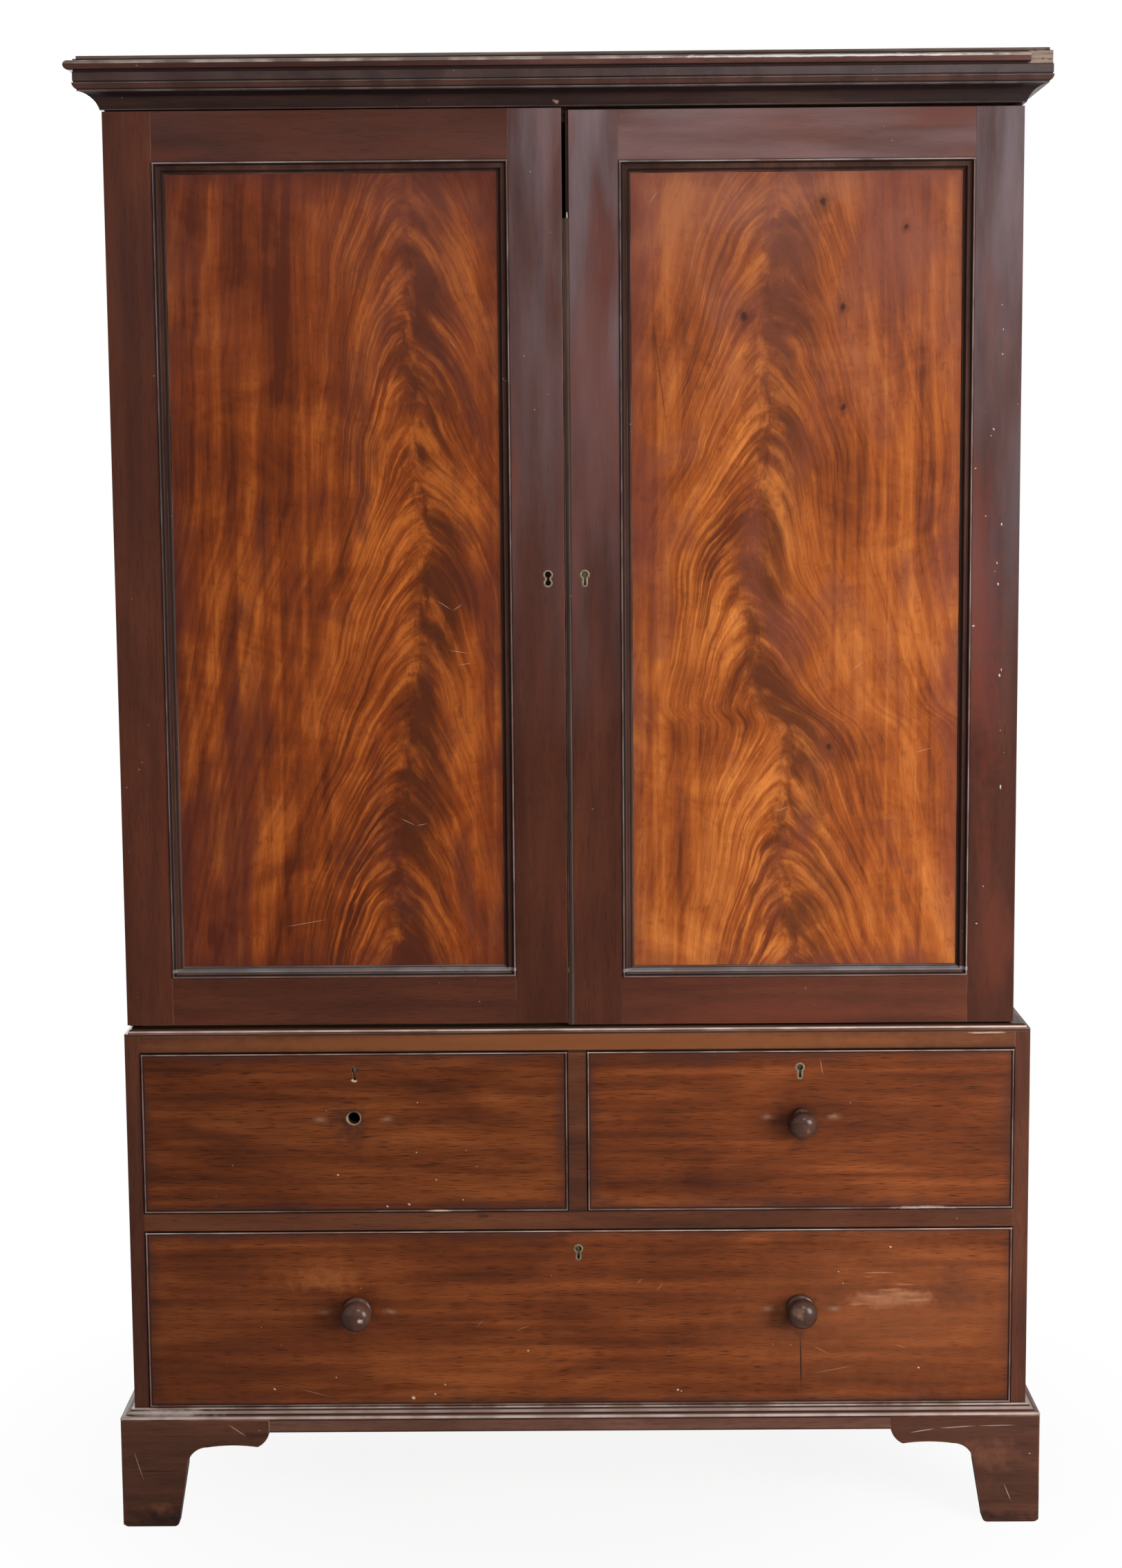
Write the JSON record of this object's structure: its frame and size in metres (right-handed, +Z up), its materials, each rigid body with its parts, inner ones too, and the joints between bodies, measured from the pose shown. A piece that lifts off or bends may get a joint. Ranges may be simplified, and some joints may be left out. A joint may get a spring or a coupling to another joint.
{
  "type": "linen press",
  "caption": "Mahogany linen press: a cupboard with flame-veneered panelled doors over linen trays, on a chest of locking drawers with turned knobs and bracket feet.",
  "frame": {"origin": "on the floor, under the middle of the whole piece's bounding box", "axes": "+Z up; the doors and drawers face -Y; +X to the right as seen from the front"},
  "size_m": [1.39, 0.593, 2.1416],
  "materials": {
    "polished_mahogany": "dark red-brown French polish, worn pale at the edges",
    "carcass_mahogany": "plain mahogany sides, waxed",
    "flame_veneer": "flame veneer, polished",
    "secondary_pine": "unfinished pine, darkened by age",
    "raw_pine": "bare pale pine",
    "tray_oak": "unfinished oak",
    "drawer_oak": "unfinished oak",
    "knob_wood": "turned and polished",
    "old_brass": "tarnished"
  },
  "bodies": {
    "cabinet": {"case_side_left": "carcass_mahogany", "case_side_right": "carcass_mahogany", "case_top": "secondary_pine", "case_bottom": "secondary_pine", "case_back": "secondary_pine", "linen_tray_1": "tray_oak", "linen_tray_2": "tray_oak", "linen_tray_3": "tray_oak", "linen_tray_4": "tray_oak", "tray_bearers": "secondary_pine", "cornice_front": "polished_mahogany", "cornice_left": "polished_mahogany", "cornice_right": "polished_mahogany", "cornice_nosing": "polished_mahogany", "cornice_core": "raw_pine", "case_hinge_leaves": "old_brass", "chest_side_left": "carcass_mahogany", "chest_side_right": "carcass_mahogany", "chest_top": "carcass_mahogany", "chest_front_frame": "polished_mahogany", "dust_board": "secondary_pine", "chest_bottom": "secondary_pine", "chest_back": "secondary_pine", "drawer_runners": "secondary_pine", "plinth_moulding": "polished_mahogany", "foot_front_left": "polished_mahogany", "foot_front_right": "polished_mahogany", "foot_rear": "polished_mahogany"},
    "left_door": {"door_left_hinge_stile": "polished_mahogany", "door_left_meeting_stile": "polished_mahogany", "door_left_rails": "polished_mahogany", "door_left_panel": "flame_veneer", "door_left_bead": "polished_mahogany", "door_left_hinge_leaves": "old_brass", "door_left_brasses": "old_brass"},
    "right_door": {"door_right_hinge_stile": "polished_mahogany", "door_right_meeting_stile": "polished_mahogany", "door_right_rails": "polished_mahogany", "door_right_panel": "flame_veneer", "door_right_bead": "polished_mahogany", "door_right_hinge_leaves": "old_brass", "door_right_lock": "old_brass", "door_right_meeting_bead": "polished_mahogany"},
    "left_door_top_bolt": {"door_left_top_bolt": "old_brass"},
    "left_door_bottom_bolt": {"door_left_bottom_bolt": "old_brass"},
    "right_door_lock_bolt": {"door_right_lock_bolt": "old_brass"},
    "short_drawer_left": {"short_drawer_left_front": "polished_mahogany", "short_drawer_left_box": "drawer_oak", "short_drawer_left_lock": "old_brass"},
    "short_drawer_left_bolt": {"short_drawer_left_lock_bolt": "old_brass"},
    "short_drawer_right": {"short_drawer_right_front": "polished_mahogany", "short_drawer_right_box": "drawer_oak", "short_drawer_right_lock": "old_brass", "short_drawer_right_knob": "knob_wood"},
    "short_drawer_right_bolt": {"short_drawer_right_lock_bolt": "old_brass"},
    "long_drawer": {"long_drawer_front": "polished_mahogany", "long_drawer_box": "drawer_oak", "long_drawer_lock": "old_brass", "long_drawer_knobs": "knob_wood"},
    "long_drawer_bolt": {"long_drawer_lock_bolt": "old_brass"}
  },
  "joints": [
    {"name": "left_door_hinge", "type": "hinge", "parent": "cabinet", "child": "left_door", "pos_m": [-0.6505, -0.221, 1.413], "axis": [0, 0, -1], "range_deg": [0, 170]},
    {"name": "right_door_hinge", "type": "hinge", "parent": "cabinet", "child": "right_door", "pos_m": [0.6505, -0.221, 1.41], "axis": [0, 0, 1], "range_deg": [0, 170]},
    {"name": "left_door_top_bolt_slide", "type": "slide", "parent": "left_door", "child": "left_door_top_bolt", "axis": [0, 0, 1], "range_m": [0, 0.01]},
    {"name": "left_door_bottom_bolt_slide", "type": "slide", "parent": "left_door", "child": "left_door_bottom_bolt", "axis": [0, 0, -1], "range_m": [0, 0.01]},
    {"name": "right_door_lock_bolt_slide", "type": "slide", "parent": "right_door", "child": "right_door_lock_bolt", "axis": [-1, 0, 0], "range_m": [0, 0.01]},
    {"name": "short_drawer_left_slide", "type": "slide", "parent": "cabinet", "child": "short_drawer_left", "axis": [0, -1, 0], "range_m": [0, 0.4]},
    {"name": "short_drawer_right_slide", "type": "slide", "parent": "cabinet", "child": "short_drawer_right", "axis": [0, -1, 0], "range_m": [0, 0.4]},
    {"name": "long_drawer_slide", "type": "slide", "parent": "cabinet", "child": "long_drawer", "axis": [0, -1, 0], "range_m": [0, 0.4]},
    {"name": "short_drawer_left_lock_bolt_slide", "type": "slide", "parent": "short_drawer_left", "child": "short_drawer_left_bolt", "axis": [0, 0, 1], "range_m": [0, 0.01]},
    {"name": "short_drawer_right_lock_bolt_slide", "type": "slide", "parent": "short_drawer_right", "child": "short_drawer_right_bolt", "axis": [0, 0, 1], "range_m": [0, 0.01]},
    {"name": "long_drawer_lock_bolt_slide", "type": "slide", "parent": "long_drawer", "child": "long_drawer_bolt", "axis": [0, 0, 1], "range_m": [0, 0.01]}
  ]
}
